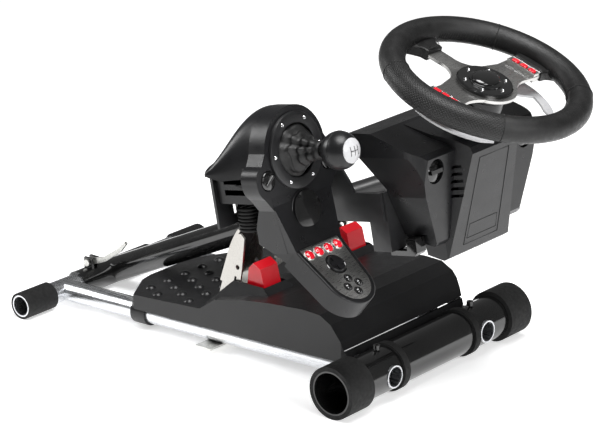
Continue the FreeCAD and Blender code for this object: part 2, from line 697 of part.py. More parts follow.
def build_wheel():
    rim = doc.addObject("Part::Torus", "rim")
    bind(rim, "Radius1", "wheel_diameter / 2 - grip_diameter / 2")
    bind(rim, "Radius2", "grip_diameter / 2")
    rim.Placement = WHEEL
    webs = [web(turn, half, start) for turn, half, start in ((0, 23.5, 92), (180, 23.5, 92), (-90, 14.5, 84))]
    # the leather webs are moulded round the spokes' ends
    pocket = pad(WHEEL * place(0, 0, PLATE_Z - 0.02), spoke_outline(), "spoke_plate + 0.04")
    node("wheel_rim", cut(fuse(rim, *webs), pocket))

    frame = WHEEL * place(0, 0, PLATE_Z)
    plate = pad(frame, spoke_outline(), "spoke_plate", holes=((0, 0, 8.3),))
    bars, sockets = [], []
    for _, side in SIDES:
        low, high = sorted((side * 77.5, side * 91.5))
        bars.append(block(WHEEL, (low, -24, PLATE_Z - 3.5), (high, 21.5, PLATE_Z + 8.5)))
        for y in BUTTON_Y:
            outline = button_outline(side * BUTTON_X, y, side, 0.3)
            sockets.append(pad(WHEEL * place(0, 0, PLATE_Z - 6), outline, 20.0))
    node("wheel_spokes", cut(fuse(plate, *bars), *sockets))
    for name, side in SIDES:
        for count, y in enumerate(BUTTON_Y, start=1):
            node("wheel_button_%s_%d" % (name, count),
                 pad(WHEEL * place(0, 0, PLATE_Z - 2.5), button_outline(side * BUTTON_X, y, side, 0.0), 12.6,
                     round_edges=0.8))

    cap_z = PLATE_Z + SIZES["spoke_plate"]
    cap = [(0, 0), (37.5, 0), (37.5, 3.2), (35.8, 5), (22.5, 5), (22.0, 6.2), dome(22.0, 6.2, 9.6)]
    node("hub_cap", revolve(WHEEL * place(0, 0, cap_z + 0.02), cap))

    under = PLATE_Z
    hub = revolve(WHEEL * place(0, 0, under - 0.02), [(8.05, 0), (36, 0), (36, -6), (31, -10), (31, -34),
                                                      (27, -38), (8.05, -38)])
    notches = [block(WHEEL, (min(side * 20, side * 40), -11.5, under - 30),
                     (max(side * 20, side * 40), 11.5, under - 15)) for _, side in SIDES]
    node("wheel_hub", cut(hub, *notches))
    for name, side in SIDES:
        node("paddle_" + name, build_paddle(side, under - 24))


def build_paddle(side, height):
    """A crescent blade on an arm that is hinged in the hub's side."""
    outer, inner = 101.0, 88.0
    blade_out = arc_points(outer, -16, 40)
    blade_in = arc_points(inner, 40, -12)
    tip = arc_points(97, 50, 50)[0]
    outline = [blade_out[0], blade_out[2] + blade_out[1], tip, blade_in[0],
               arc_points(inner, 18, 18)[0] + arc_points(inner, 29, 29)[0], (62, 10), (24, 9.5),
               (24, -9.5), (62, -10), arc_points(inner, -12, -12)[0]]
    if side < 0:
        outline = [tuple(-v if i % 2 == 0 else v for i, v in enumerate(p)) for p in outline]
    blade = pad(WHEEL * place(0, 0, height - 1.5), outline, 3.0)
    knuckle = rod(WHEEL, 4.5, 19, (side * 26, -9.5, height), YDIR)
    return fuse(blade, knuckle)


# ---------------------------------------------------------------- gear shifter

EAR_X, EAR_Y, EAR_R = 57.0, 26.0, 21.0


def keyhole(grow):
    """The shifter's face: a round dome, an ear each side and a tapering neck."""
    round_end = SIZES["shifter_dome"] + grow
    neck_top, neck_low = 58 + grow, 43 + grow
    right = [(neck_low, 124), (neck_top - 4, 66), (EAR_X + EAR_R * 0.5 + grow, 48),
             (EAR_X + EAR_R + grow, EAR_Y, EAR_X + EAR_R * 0.86 + grow, EAR_Y + 13),
             (EAR_X + 8, EAR_Y - EAR_R + 1 - grow, EAR_X + EAR_R * 0.8 + grow, EAR_Y - 15)]
    top = (round_end * math.cos(math.radians(8)), -round_end * math.sin(math.radians(8)))
    right.append(top)
    left = [(-top[0], top[1], 0, -round_end)]
    left += [(-EAR_X - 8, EAR_Y - EAR_R + 1 - grow),
             (-EAR_X - EAR_R - grow, EAR_Y, -EAR_X - EAR_R * 0.8 - grow, EAR_Y - 15),
             (-EAR_X - EAR_R * 0.5 - grow, 48, -EAR_X - EAR_R * 0.86 - grow, EAR_Y + 13),
             (-neck_top + 4, 66), (-neck_low, 124)]
    return right + left


def console_outline(grow, low_y=0.0):
    """The button panel's outline in the console's own plane."""
    half = SIZES["panel_half_width"] + grow
    end = 31.0 + grow
    turn = [(half, low_y), (end, 60), (-end, 60, 0, 60 + end), (-half, low_y)]
    return turn


def build_shifter_shells():
    face_low = -26.0
    face = pad(SHIFTER * place(0, 0, face_low), keyhole(0.0), 26.0)
    rise = pad(side_frame(SHIFTER, -90), [(48, -26), (48, 0), (60, 0.4), (124, 15.8), (128, 20),
                                          (142, 4), (112, -44), (90, -40), (64, -26)], 180)
    column_plan = pad(SHIFTER * place(0, 0, -60), [(41, 150), (43, 122), (54, 66), (57, 46), (-57, 46),
                                                   (-54, 66), (-43, 122), (-41, 150)], 100)
    neck = common(rise, column_plan)
    console = pad(CONSOLE * place(0, 0, -30), console_outline(6.5, -4), 30, round_edges=2.0)
    well = rod(SHIFTER, 34.0, 70, (0, 0, -50))
    panel_bed = pad(CONSOLE * place(0, 0, -2.2), console_outline(0.25, -2.25), 20)
    inner = pad(SHIFTER * place(0, 0, -40), keyhole(-3.2), 36.5)
    knob_wells = [rod(SHIFTER, 13.0, 40, (side * EAR_X, EAR_Y, -12)) for _, side in SIDES]
    tubes = [rod(SHIFTER, 15.5, 10, (side * EAR_X, EAR_Y, -14)) for _, side in SIDES]
    stems = [rod(SHIFTER, 5.0, 40, (side * EAR_X, EAR_Y, -30)) for _, side in SIDES]
    inner_cut = cut(inner, block(SHIFTER, (-90, 44, -60), (90, 150, 20)))
    hollow = cut(fuse(face, neck, console), inner_cut)
    bezel = ring(SHIFTER, 48.5, 34.0, 8.0, (0, 0, -4.5))
    emblem = revolve(SHIFTER * place(0, 77, 0.0, XDIR, 5.5),
                     [(0, -4), (26, -4), (26, 2.5), dome(26, 2.5, 7.0)])
    shell = cut(fuse(hollow, bezel, emblem, *tubes), well, panel_bed, *(knob_wells + stems + button_holes()))
    node("shifter_front_shell", shell)

    rear_low = -84.0
    case = feature(SHIFTER, rear_form(0.0))
    cabin = feature(SHIFTER, rear_form(SIZES["shell_wall"]))
    box = block(SHIFTER, (-60, 10, rear_low), (60, 56, -30))
    room = block(SHIFTER, (-57, 4, rear_low - 0.1), (57, 53, -33))
    slots = [block(SHIFTER, (x, 50, rear_low + 12), (x + 9, 70, rear_low + 40)) for x in (-50, -30, 14, 34)]
    end_slots = [block(SHIFTER, (50, y, rear_low + 10), (70, y + 7, rear_low + 44)) for y in (24, 38)]
    throat = rod(SHIFTER, 34.0, 40, (0, 0, -60))
    hollow = cut(fuse(case, box), cabin, room, throat, *(slots + end_slots))
    plate = feature(SHIFTER * place(0, 0, rear_low - 2.5), rear_floor())
    deck = block(SHIFTER, (-60, 10, rear_low - 2.5), (60, 56, rear_low))
    node("shifter_rear_shell", fuse(hollow, plate, deck))


REAR_SECTIONS = ((0.0, -57, 58), (0.25, -55, 61), (0.5, -47, 66), (0.75, -28, 72.5), (1.0, -2, 78.3))


def rear_wire(share, top, wide, height, inset):
    """One section of the rear shell: a half ellipse that stands on two short sides and a base line."""
    middle, low = 20 - 6 * share, 41 - 25 * share - inset
    crown = []
    for step in range(17):
        angle = math.pi * step / 16
        rise = (top + inset - middle) * math.sin(angle)
        crown.append(vec((wide - inset) * math.cos(angle), middle + rise, height))
    curve = Part.BSplineCurve()
    curve.interpolate(crown)
    foot = Part.makePolygon([crown[-1], vec(inset - wide, low + inset * 0.5 + 1, height),
                             vec(wide - inset, low + inset * 0.5 + 1, height), crown[0]])
    return Part.Wire([curve.toShape()] + foot.Edges)


def rear_form(inset):
    """The rear shell's form: its sections widen and drop towards the back."""
    wires = []
    for share, top, wide in REAR_SECTIONS:
        height = -26.5 - 57.5 * share
        if inset and share in (0.0, 1.0):
            height += 0.2 if share == 0.0 else -0.2
        wires.append(rear_wire(share, top, wide, height, inset))
    return Part.makeLoft(wires, True, False)


def rear_floor():
    """The flat bottom plate of the rear shell, as its last section."""
    share, top, wide = REAR_SECTIONS[-1]
    return Part.Face(rear_wire(share, top, wide, 0.0, 0.0)).extrude(vec(0, 0, 2.5))


RED_X = (-27.0, -9.0, 9.0, 27.0)
RED_Y = 9.0
BLACK_SPOTS = ((0.0, 58.0), (10.5, 68.5), (0.0, 79.0), (-10.5, 68.5))
PAD_Y = 34.0


def button_spots():
    spots = [("shifter_red_button_%d" % (i + 1), x, RED_Y, 6.6) for i, x in enumerate(RED_X)]
    spots += [("shifter_black_button_%d" % (i + 1), x, y, 5.0) for i, (x, y) in enumerate(BLACK_SPOTS)]
    return spots


def button_holes():
    holes = [rod(CONSOLE, radius + 0.3, 24, (x, y, -12)) for _, x, y, radius in button_spots()]
    holes.append(rod(CONSOLE, 13.2, 24, (0, PAD_Y, -12)))
    return holes


def build_shifter_controls():
    panel = pad(CONSOLE * place(0, 0, -2.0), console_outline(0.0, -2.0), "panel_thickness",
                holes=[(x, y, radius + 0.3) for _, x, y, radius in button_spots()] + [(0, PAD_Y, 13.2)])
    node("button_panel", panel)
    for label, x, y, radius in button_spots():
        crown = 3.6 if radius > 6 else 3.2
        turned = [(0, -8), (radius, -8), (radius, crown - 2.6), dome(radius, crown - 2.6, crown)]
        node(label, revolve(CONSOLE * place(x, y, 0), turned))
    disc = revolve(CONSOLE * place(0, PAD_Y, 0), [(0, -6), (11.6, -6), (12.4, -2), (12.4, 0.8),
                                                  (11, 2.2), (0, 2.2)])
    arms = [block(CONSOLE, (-10.6, PAD_Y - 3.6, 0.4), (10.6, PAD_Y + 3.6, 3.8)),
            block(CONSOLE, (-3.6, PAD_Y - 10.6, 0.4), (3.6, PAD_Y + 10.6, 3.8))]
    rocker = rod(CONSOLE, 2.0, 16, (-8, PAD_Y, -7), XDIR)
    node("d_pad", fuse(disc, rocker, *arms))

    gimbal = cut(ring(SHIFTER, 19.0, 13.0, 8, (0, 0, -44)), rod(SHIFTER, 2.55, 60, (-30, 0, -40), XDIR))
    trunnions = [rod(SHIFTER, 3.0, 9, (0, y, -40), YDIR) for y in (-25.0, 16.0)]
    node("shifter_gimbal", fuse(gimbal, *trunnions))
    lever = rod(SHIFTER, 5.0, 92, (0, 0, -40))
    hub = ball(SHIFTER, 9.0, (0, 0, -40))
    axle = rod(SHIFTER, 2.5, 37.6, (-18.8, 0, -40), XDIR)
    node("gear_lever", fuse(lever, hub, axle))
    knob_bore = rod(SHIFTER, 5.05, 92.1, (0, 0, -40))
    node("gear_knob", cut(ball(SHIFTER, "knob_diameter / 2", (0, 0, 74)), knob_bore))
    boot = revolve(SHIFTER, [(7.0, 47), (9.5, 47), (13, 30), (26, 12), (33.4, 3), (33.4, -3), (31, -3),
                             (30.4, 3),
                             (22, 12), (10.5, 28)])
    node("gaiter", boot)


def build_cords():
    """The spare lead of the shifter, wound in a hank, and the pedals' lead."""
    hank = pad(SHIFTER * place(-46, 80.8, -67, YDIR, 90),
               [(14, -15), (19, 0, 18, -9), (14, 15, 18, 9), (-14, 15), (-19, 0, -18, 9),
                (-14, -15, -18, -9)], 92.0)
    node("shifter_lead_hank", hank)


def check_and_write():
    doc.recompute()
    for obj in doc.Objects:
        if "Invalid" in obj.State or "Error" in obj.State:
            raise RuntimeError("%s failed: %s" % (obj.Label, obj.State))
    os.makedirs("parts", exist_ok=True)
    bounds = FreeCAD.BoundBox()
    for obj in NODES:
        if obj.Shape.isNull() or not obj.Shape.isValid() or not obj.Shape.Solids:
            raise RuntimeError("%s has no valid solid" % obj.Label)
        bounds.add(obj.Shape.BoundBox)
        obj.Shape.exportStep("parts/%s.step" % obj.Label)
    print("%d nodes, box %s" % (len(NODES), bounds))
    print("box centre %.2f %.2f, low %.2f" % (bounds.Center.x, bounds.Center.y, bounds.ZMin))


build_stand()
build_leg_hooks()
build_pedal_unit()
build_pedals()
build_column()
build_platform()
build_wheel_base()
build_drive()
build_wheel()
build_shifter_shells()
build_shifter_controls()
build_cords()
check_and_write()
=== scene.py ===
"""Racing wheel set on its folded stand: looks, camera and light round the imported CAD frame."""
import json
import math

import bmesh
import bpy
from mathutils import Matrix, Vector, noise


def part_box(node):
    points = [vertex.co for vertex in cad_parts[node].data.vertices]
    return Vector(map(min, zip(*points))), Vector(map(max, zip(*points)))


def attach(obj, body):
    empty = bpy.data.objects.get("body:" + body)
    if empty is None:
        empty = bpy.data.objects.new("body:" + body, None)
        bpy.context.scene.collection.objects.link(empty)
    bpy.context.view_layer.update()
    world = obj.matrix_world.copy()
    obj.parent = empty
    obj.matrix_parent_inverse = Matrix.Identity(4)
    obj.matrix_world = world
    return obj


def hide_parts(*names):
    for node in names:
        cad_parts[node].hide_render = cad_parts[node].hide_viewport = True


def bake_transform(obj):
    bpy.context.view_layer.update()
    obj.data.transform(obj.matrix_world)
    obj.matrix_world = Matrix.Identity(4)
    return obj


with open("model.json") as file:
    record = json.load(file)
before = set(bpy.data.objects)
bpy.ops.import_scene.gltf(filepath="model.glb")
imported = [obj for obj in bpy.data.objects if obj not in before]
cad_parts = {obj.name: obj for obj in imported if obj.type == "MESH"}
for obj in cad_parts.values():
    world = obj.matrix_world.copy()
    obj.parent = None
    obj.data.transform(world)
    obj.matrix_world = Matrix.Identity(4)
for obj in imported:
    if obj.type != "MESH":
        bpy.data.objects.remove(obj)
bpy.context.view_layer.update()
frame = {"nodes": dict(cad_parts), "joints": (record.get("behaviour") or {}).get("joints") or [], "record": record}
NODES = frame["nodes"]
JOINTS = {joint["name"]: joint for joint in frame["joints"]}
MM = 0.001
X, Z = Vector((1, 0, 0)), Vector((0, 0, 1))
WORLD = Matrix.Identity(4)


# ---------------------------------------------------------------- local frames, all in millimetres

def local(origin, z_way=None, y_way=None):
    """A matrix from local millimetres to the row frame, with its X along the row's X.

    Either the local Z or the local Y is given, as a direction of the row frame.
    """
    if y_way is not None:
        z_way = X.cross(Vector(y_way))
    z_way = Vector(z_way).normalized()
    matrix = Matrix((X, z_way.cross(X), z_way)).transposed().to_4x4()
    matrix.translation = Vector(origin)
    return matrix @ Matrix.Scale(MM, 4)


def shift(x, y, z):
    return Matrix.Translation((x, y, z))


def turn(degrees, axis):
    return Matrix.Rotation(math.radians(degrees), 4, axis)


def joint_place(name):
    return JOINTS[name]["pos_m"]


# where each joint lies in the frame of its unit
KNOB_X, KNOB_Y = 95, -16     # clamp knob, from the middle of the wheel base
GIMBAL_DEPTH = 40            # gimbal axis, below the shifter's top face
PAD_Y, PAD_DEPTH = 34, 7     # direction pad's hinge, along the panel and below its face

WHEEL = local(joint_place("wheel_spin"), JOINTS["wheel_spin"]["axis"])
UPPER = local(joint_place("right_knob_turn"), JOINTS["right_knob_turn"]["axis"]) @ shift(-KNOB_X, -KNOB_Y, 0)
SHIFTER = local(joint_place("lever_select"), y_way=JOINTS["lever_select"]["axis"]) @ shift(0, 0, GIMBAL_DEPTH)
KEYS = local(joint_place("direction_pad_rock"), -Vector(JOINTS["red_key_1_press"]["axis"]))
CONSOLE = KEYS @ shift(0, -PAD_Y, PAD_DEPTH)
REAR_AXIS = Vector(joint_place("column_fold"))
GROUND = local((REAR_AXIS.x, REAR_AXIS.y, 0), Z)


# ---------------------------------------------------------------- mesh helpers

def add_lathe(bm, profile, place, steps=48):
    """Turns (radius, height) points round local Z; the two ends may lie on the axis."""
    rings = []
    for radius, height in profile:
        if radius < 1e-6:
            rings.append([bm.verts.new(place @ Vector((0, 0, height)))])
            continue
        ring = []
        for step in range(steps):
            angle = math.radians(360.0 * step / steps)
            point = Vector((radius * math.cos(angle), radius * math.sin(angle), height))
            ring.append(bm.verts.new(place @ point))
        rings.append(ring)
    for low, high in zip(rings, rings[1:]):
        for step in range(steps):
            after = (step + 1) % steps
            corners = [low[step % len(low)], low[after % len(low)],
                       high[after % len(high)], high[step % len(high)]]
            # a ring on the axis is one vertex, which gives triangles
            unique = list(dict.fromkeys(corners))
            if len(unique) > 2:
                bm.faces.new(unique)


def add_prism(bm, outline, low, high, place):
    """A closed outline in local XY between two heights."""
    bottom = [bm.verts.new(place @ Vector((x, y, low))) for x, y in outline]
    top = [bm.verts.new(place @ Vector((x, y, high))) for x, y in outline]
    bm.faces.new(list(reversed(bottom)))
    bm.faces.new(top)
    for i in range(len(outline)):
        after = (i + 1) % len(outline)
        bm.faces.new((bottom[i], bottom[after], top[after], top[i]))


def add_box(bm, low, high, place):
    outline = [(low[0], low[1]), (high[0], low[1]), (high[0], high[1]), (low[0], high[1])]
    add_prism(bm, outline, low[2], high[2], place)


def add_pipe(bm, points, radius, place, sides=12, closed=False):
    """A round strip along a list of local points."""
    points = [Vector(p) for p in points]
    count = len(points)
    rings, normal = [], None
    for i, point in enumerate(points):
        ahead = points[(i + 1) % count] if closed or i + 1 < count else point
        behind = points[i - 1] if closed or i > 0 else point
        way = (ahead - behind).normalized()
        if normal is None:
            normal = way.cross(Z if abs(way.z) < 0.9 else X).normalized()
        normal = (normal - way * normal.dot(way)).normalized()
        other = way.cross(normal)
        ring = []
        for side in range(sides):
            angle = 2 * math.pi * side / sides
            ring.append(bm.verts.new(place @ (point + normal * radius * math.cos(angle)
                                              + other * radius * math.sin(angle))))
        rings.append(ring)
    pairs = list(zip(rings, rings[1:] + ([rings[0]] if closed else [])))
    for low, high in pairs:
        for side in range(sides):
            after = (side + 1) % sides
            bm.faces.new((low[side], low[after], high[after], high[side]))
    if not closed:
        bm.faces.new(list(reversed(rings[0])))
        bm.faces.new(rings[-1])


def add_grid(bm, rows, close_rows=False):
    """Faces between rows of points that are already in the row frame."""
    verts = [[bm.verts.new(p) for p in row] for row in rows]
    for low, high in zip(verts, verts[1:]):
        count = len(low)
        for i in range(count if close_rows else count - 1):
            after = (i + 1) % count
            bm.faces.new((low[i], low[after], high[after], high[i]))


def hoop(radius, height, steps):
    """Points of a circle round local Z."""
    angles = [2 * math.pi * i / steps for i in range(steps)]
    return [(radius * math.cos(a), radius * math.sin(a), height) for a in angles]


def around(radius, height, angles):
    """One place matrix for each angle, at the same distance from local Z."""
    turned = [math.radians(angle) for angle in angles]
    return [shift(radius * math.cos(a), radius * math.sin(a), height) for a in turned]


def arc(radius, start, end, steps=12, centre=(0, 0)):
    angles = [math.radians(start + (end - start) * i / steps) for i in range(steps + 1)]
    return [(centre[0] + radius * math.cos(a), centre[1] + radius * math.sin(a)) for a in angles]


def shade(mesh, degrees):
    """Smooth faces with the edges sharper than the angle left crisp."""
    limit = math.radians(degrees)
    bm = bmesh.new()
    bm.from_mesh(mesh)
    for face in bm.faces:
        face.smooth = True
    for edge in bm.edges:
        edge.smooth = len(edge.link_faces) != 2 or edge.calc_face_angle(0.0) < limit
    bm.to_mesh(mesh)
    bm.free()


def make(name, bm, body, look, bevel=0.0, crisp=35):
    """Turns the bmesh into a piece that rides on a CAD body, or on none."""
    bmesh.ops.recalc_face_normals(bm, faces=bm.faces)
    mesh = bpy.data.meshes.new(name)
    bm.to_mesh(mesh)
    bm.free()
    shade(mesh, crisp)
    piece = bpy.data.objects.new(name, mesh)
    bpy.context.scene.collection.objects.link(piece)
    mesh.materials.append(look)
    if bevel:
        soften(piece, bevel)
    if body:
        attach(piece, body)
    return piece


def thicken(piece, thickness, offset):
    """Gives a sheet its thickness in millimetres: offset -1 grows it inwards, 0 both ways."""
    wall = piece.modifiers.new("thickness", "SOLIDIFY")
    wall.thickness = thickness * MM
    wall.offset = offset


def soften(piece, width, segments=3):
    """A small round on every edge sharper than 30 degrees."""
    edge = piece.modifiers.new("edge_round", "BEVEL")
    edge.width = width * MM
    edge.segments = segments
    edge.limit_method = "ANGLE"
    edge.angle_limit = math.radians(30)
    edge.harden_normals = True
    edge.use_clamp_overlap = True


# ---------------------------------------------------------------- materials

class Look:
    """A node material built step by step round one Principled shader."""

    def __init__(self, name, **shader):
        self.material = bpy.data.materials.new(name)
        self.material.use_nodes = True
        self.tree = self.material.node_tree
        self.shader = self.tree.nodes["Principled BSDF"]
        for socket, value in shader.items():
            self.shader.inputs[socket.replace("_", " ")].default_value = value
        self.coords = self.tree.nodes.new("ShaderNodeTexCoord").outputs["Object"]
        self.height = None

    def link(self, source, target):
        self.tree.links.new(source, target)

    def mapping(self, scale, spin=(0, 0, 0), source=None):
        node = self.tree.nodes.new("ShaderNodeMapping")
        node.inputs["Scale"].default_value = scale
        node.inputs["Rotation"].default_value = [math.radians(v) for v in spin]
        self.link(source or self.coords, node.inputs["Vector"])
        return node.outputs["Vector"]

    def noise(self, scale, detail=3.0, stretch=None, roughness=0.5, distort=0.0):
        node = self.tree.nodes.new("ShaderNodeTexNoise")
        node.inputs["Scale"].default_value = scale
        node.inputs["Detail"].default_value = detail
        node.inputs["Roughness"].default_value = roughness
        node.inputs["Distortion"].default_value = distort
        vector = self.mapping(stretch) if stretch else self.coords
        self.link(vector, node.inputs["Vector"])
        return node.outputs["Fac"]

    def cells(self, scale):
        node = self.tree.nodes.new("ShaderNodeTexVoronoi")
        node.inputs["Scale"].default_value = scale
        self.link(self.coords, node.inputs["Vector"])
        return node.outputs["Distance"]

    def spread(self, value, low, high, from_low=0.3, from_high=0.7):
        node = self.tree.nodes.new("ShaderNodeMapRange")
        node.inputs["From Min"].default_value = from_low
        node.inputs["From Max"].default_value = from_high
        node.inputs["To Min"].default_value = low
        node.inputs["To Max"].default_value = high
        self.link(value, node.inputs["Value"])
        return node.outputs["Result"]

    def colours(self, value, dark, light, low=0.3, high=0.7):
        ramp = self.tree.nodes.new("ShaderNodeValToRGB")
        ramp.color_ramp.elements[0].position = low
        ramp.color_ramp.elements[0].color = (*dark, 1)
        ramp.color_ramp.elements[1].position = high
        ramp.color_ramp.elements[1].color = (*light, 1)
        self.link(value, ramp.inputs["Fac"])
        self.link(ramp.outputs["Color"], self.shader.inputs["Base Color"])
        return self

    def rough(self, value, low, high):
        self.link(self.spread(value, low, high), self.shader.inputs["Roughness"])
        return self

    def bump(self, value, depth, strength=1.0):
        """Adds a relief of the given depth in metres."""
        node = self.tree.nodes.new("ShaderNodeBump")
        node.inputs["Distance"].default_value = depth
        node.inputs["Strength"].default_value = strength
        self.link(value, node.inputs["Height"])
        if self.height is not None:
            self.link(self.height, node.inputs["Normal"])
        self.height = node.outputs["Normal"]
        self.link(self.height, self.shader.inputs["Normal"])
        return self

    def sum(self, one, other, weight=1.0):
        node = self.tree.nodes.new("ShaderNodeMath")
        node.operation = "MULTIPLY_ADD"
        self.link(other, node.inputs[0])
        node.inputs[1].default_value = weight
        self.link(one, node.inputs[2])
        return node.outputs["Value"]


PEBBLES = 1500.0       # leather pebbles in a metre
HOLE_PITCH = 2.9       # millimetres between the holes of the perforated leather


def moulded_plastic(name, dark, light, rough, coat=0.0, grain=2600.0, depth=0.00006):
    """Spark-textured injection moulding with faint flow marks and handling haze."""
    look = Look(name, Specular_IOR_Level=0.36, Coat_Weight=coat, Coat_Roughness=0.12)
    look.colours(look.noise(9.0, 4.0), dark, light)
    look.rough(look.noise(55.0, 5.0, roughness=0.65), *rough)
    look.bump(look.noise(grain, 2.0), depth)
    look.bump(look.noise(28.0, 2.0), 0.00025, 0.35)
    return look.material


def gloss_plastic(name, dark, light):
    """Polished moulding under a clear coat, with fine handling marks."""
    look = Look(name, Specular_IOR_Level=0.55, Coat_Weight=0.6, Coat_Roughness=0.05)
    look.colours(look.noise(14.0, 3.0), dark, light)
    look.rough(look.noise(140.0, 6.0, roughness=0.7), 0.07, 0.16)
    look.bump(look.noise(22.0, 1.0), 0.0004, 0.2)
    return look.material


def painted_steel(name, dark, light, rough, coat):
    """Paint over steel, with the slight orange peel of a sprayed coat."""
    look = Look(name, Specular_IOR_Level=0.5, Coat_Weight=coat, Coat_Roughness=0.06)
    look.colours(look.noise(12.0, 4.0), dark, light)
    look.rough(look.noise(90.0, 5.0), *rough)
    look.bump(look.noise(650.0, 2.0), 0.00004, 0.7)
    return look.material


def bare_metal(name, dark, light, rough, stretch, grain=900.0):
    """Drawn or brushed metal whose streaks run where the stretch is smallest."""
    look = Look(name, Metallic=1.0, Anisotropic=0.35)
    streaks = look.noise(grain, 3.0, stretch=stretch, roughness=0.6)
    look.colours(look.sum(streaks, look.noise(11.0, 4.0), 0.5), dark, light, 0.45, 1.0)
    look.rough(streaks, *rough)
    look.bump(streaks, 0.00003, 0.6)
    return look.material


def rubber(name, dark, light, depth=0.00012, scale=1500.0):
    """Dull, finely grained rubber, which also serves for thread, for printed marks and for the painted shade in
    gaps, grooves and slots.
    """
    look = Look(name, Specular_IOR_Level=0.3)
    look.colours(look.noise(40.0, 5.0, roughness=0.7), dark, light)
    look.rough(look.noise(200.0, 4.0), 0.62, 0.86)
    look.bump(look.noise(scale, 3.0), depth)
    return look.material


def leather(name, dark, light):
    """Grained leather: small pebbles, pores and soft creases."""
    look = Look(name, Specular_IOR_Level=0.36)
    look.colours(look.noise(60.0, 5.0, roughness=0.6), dark, light)
    look.rough(look.noise(180.0, 4.0), 0.3, 0.5)
    look.bump(look.cells(PEBBLES), 0.00016)
    look.bump(look.noise(160.0, 3.0, distort=0.6), 0.0006, 0.35)
    return look.material


def perforated_leather(name, light):
    """The same leather with rows of fine holes, laid out on the rim's own UV map in millimetres."""
    look = Look(name, Specular_IOR_Level=0.36)
    look.rough(look.noise(180.0, 4.0), 0.34, 0.5)
    tree = look.tree
    uv = tree.nodes.new("ShaderNodeUVMap")
    spots = tree.nodes.new("ShaderNodeTexVoronoi")
    spots.voronoi_dimensions = "2D"
    spots.inputs["Randomness"].default_value = 0.0
    spots.inputs["Scale"].default_value = 1.0 / HOLE_PITCH
    look.link(look.mapping((1, 1, 1), (0, 0, 45), uv.outputs["UV"]), spots.inputs["Vector"])
    hole = look.spread(spots.outputs["Distance"], 0.0, 1.0, 0.22, 0.4)
    # each hole is painted near-black: painted shade inside the hole
    look.colours(hole, (0.001, 0.001, 0.001), light, 0.0, 1.0)
    look.bump(look.cells(PEBBLES), 0.0001)
    look.bump(hole, 0.0005)
    return look.material


NEAR_BLACK, SOFT_BLACK = (0.006, 0.006, 0.0065), (0.016, 0.016, 0.017)
DEEP_BLACK, INK_BLACK = (0.005, 0.005, 0.0055), (0.004, 0.004, 0.004)
EVEN = (1, 1, 1)       # a metal whose grain runs no way in particular

# each material slot of the CAD, with the function that makes its look and what that function takes
FINISHES = {
    "satin_black_plastic": (moulded_plastic, DEEP_BLACK, (0.009, 0.009, 0.010), (0.26, 0.36)),
    "textured_black_plastic": (moulded_plastic, DEEP_BLACK, (0.010, 0.010, 0.0105), (0.27, 0.4),
                               0.0, 1500.0, 0.0001),
    "gloss_black_plastic": (gloss_plastic, INK_BLACK, (0.008, 0.008, 0.008)),
    "red_gloss_plastic": (gloss_plastic, (0.55, 0.004, 0.012), (0.75, 0.012, 0.03)),
    "red_plastic": (moulded_plastic, (0.46, 0.004, 0.010), (0.62, 0.008, 0.018), (0.16, 0.26), 0.4),
    "silver_plastic": (moulded_plastic, (0.42, 0.42, 0.43), (0.55, 0.55, 0.56), (0.22, 0.32), 0.4),
    "gloss_black_steel": (painted_steel, INK_BLACK, (0.009, 0.009, 0.009), (0.1, 0.18), 0.5),
    "satin_black_steel": (painted_steel, NEAR_BLACK, SOFT_BLACK, (0.3, 0.42), 0.1),
    "silver_steel": (bare_metal, (0.50, 0.51, 0.53), (0.80, 0.81, 0.83), (0.2, 0.34), (1.0, 0.03, 1.0)),
    "zinc_steel": (bare_metal, (0.42, 0.42, 0.40), (0.72, 0.72, 0.69), (0.25, 0.42), EVEN, 300.0),
    "pedal_steel": (bare_metal, (0.40, 0.385, 0.36), (0.50, 0.485, 0.46), (0.24, 0.34),
                    (1.0, 1.0, 0.05), 2600.0),
    "bearing_steel": (bare_metal, (0.4, 0.4, 0.41), (0.7, 0.7, 0.71), (0.12, 0.22), (1, 1, 0.1)),
    "motor_steel": (bare_metal, (0.3, 0.3, 0.3), (0.5, 0.5, 0.5), (0.3, 0.45), EVEN, 400.0),
    "brushed_aluminium": (bare_metal, (0.46, 0.455, 0.445), (0.58, 0.575, 0.56), (0.24, 0.34),
                          (0.03, 1.0, 1.0), 3200.0),
    "black_rubber": (rubber, (0.006, 0.006, 0.006), (0.013, 0.013, 0.013)),
    "black_leather": (leather, (0.005, 0.005, 0.005), (0.012, 0.012, 0.012)),
    "cable_black": (rubber, (0.008, 0.008, 0.008), (0.016, 0.016, 0.016), 0.00004, 900.0),
}
LOOKS = {slot: maker(slot, *values) for slot, (maker, *values) in FINISHES.items()}
PERFORATED = perforated_leather("perforated_leather", (0.012, 0.012, 0.012))
BRIGHT = bare_metal("polished_trim", (0.62, 0.62, 0.63), (0.86, 0.86, 0.87), (0.08, 0.16), EVEN, 500.0)
THREAD = rubber("black_thread", (0.006, 0.006, 0.006), (0.02, 0.02, 0.02), 0.0001, 3000.0)
# near-black: the printed gear pattern on the knob, and painted shade in the hub's edge gap, the panel grooves and
# the pedal plates' slots
PRINT_AND_PAINTED_SHADE = rubber("print_and_painted_shade", (0.001, 0.001, 0.001), (0.003, 0.003, 0.003))

SHARP_NODES = {"wheel_rim", "gaiter", "shifter_lead_hank", "wheel_shaft"}
USUAL_BEVEL = 0.5
BEVELS = {"shifter_front_shell": 2.0, "base_lower_shell": 1.2, "base_upper_shell": 1.2, "pedal_top_case": 3.0,
          "pedal_base": 1.2, "front_rubber_rings": 2.0, "rear_foot_sleeves": 2.0, "front_cross_tube": 0.8,
          "shifter_rear_shell": 1.5, "wheel_spokes": 0.4, "button_panel": 0.3}


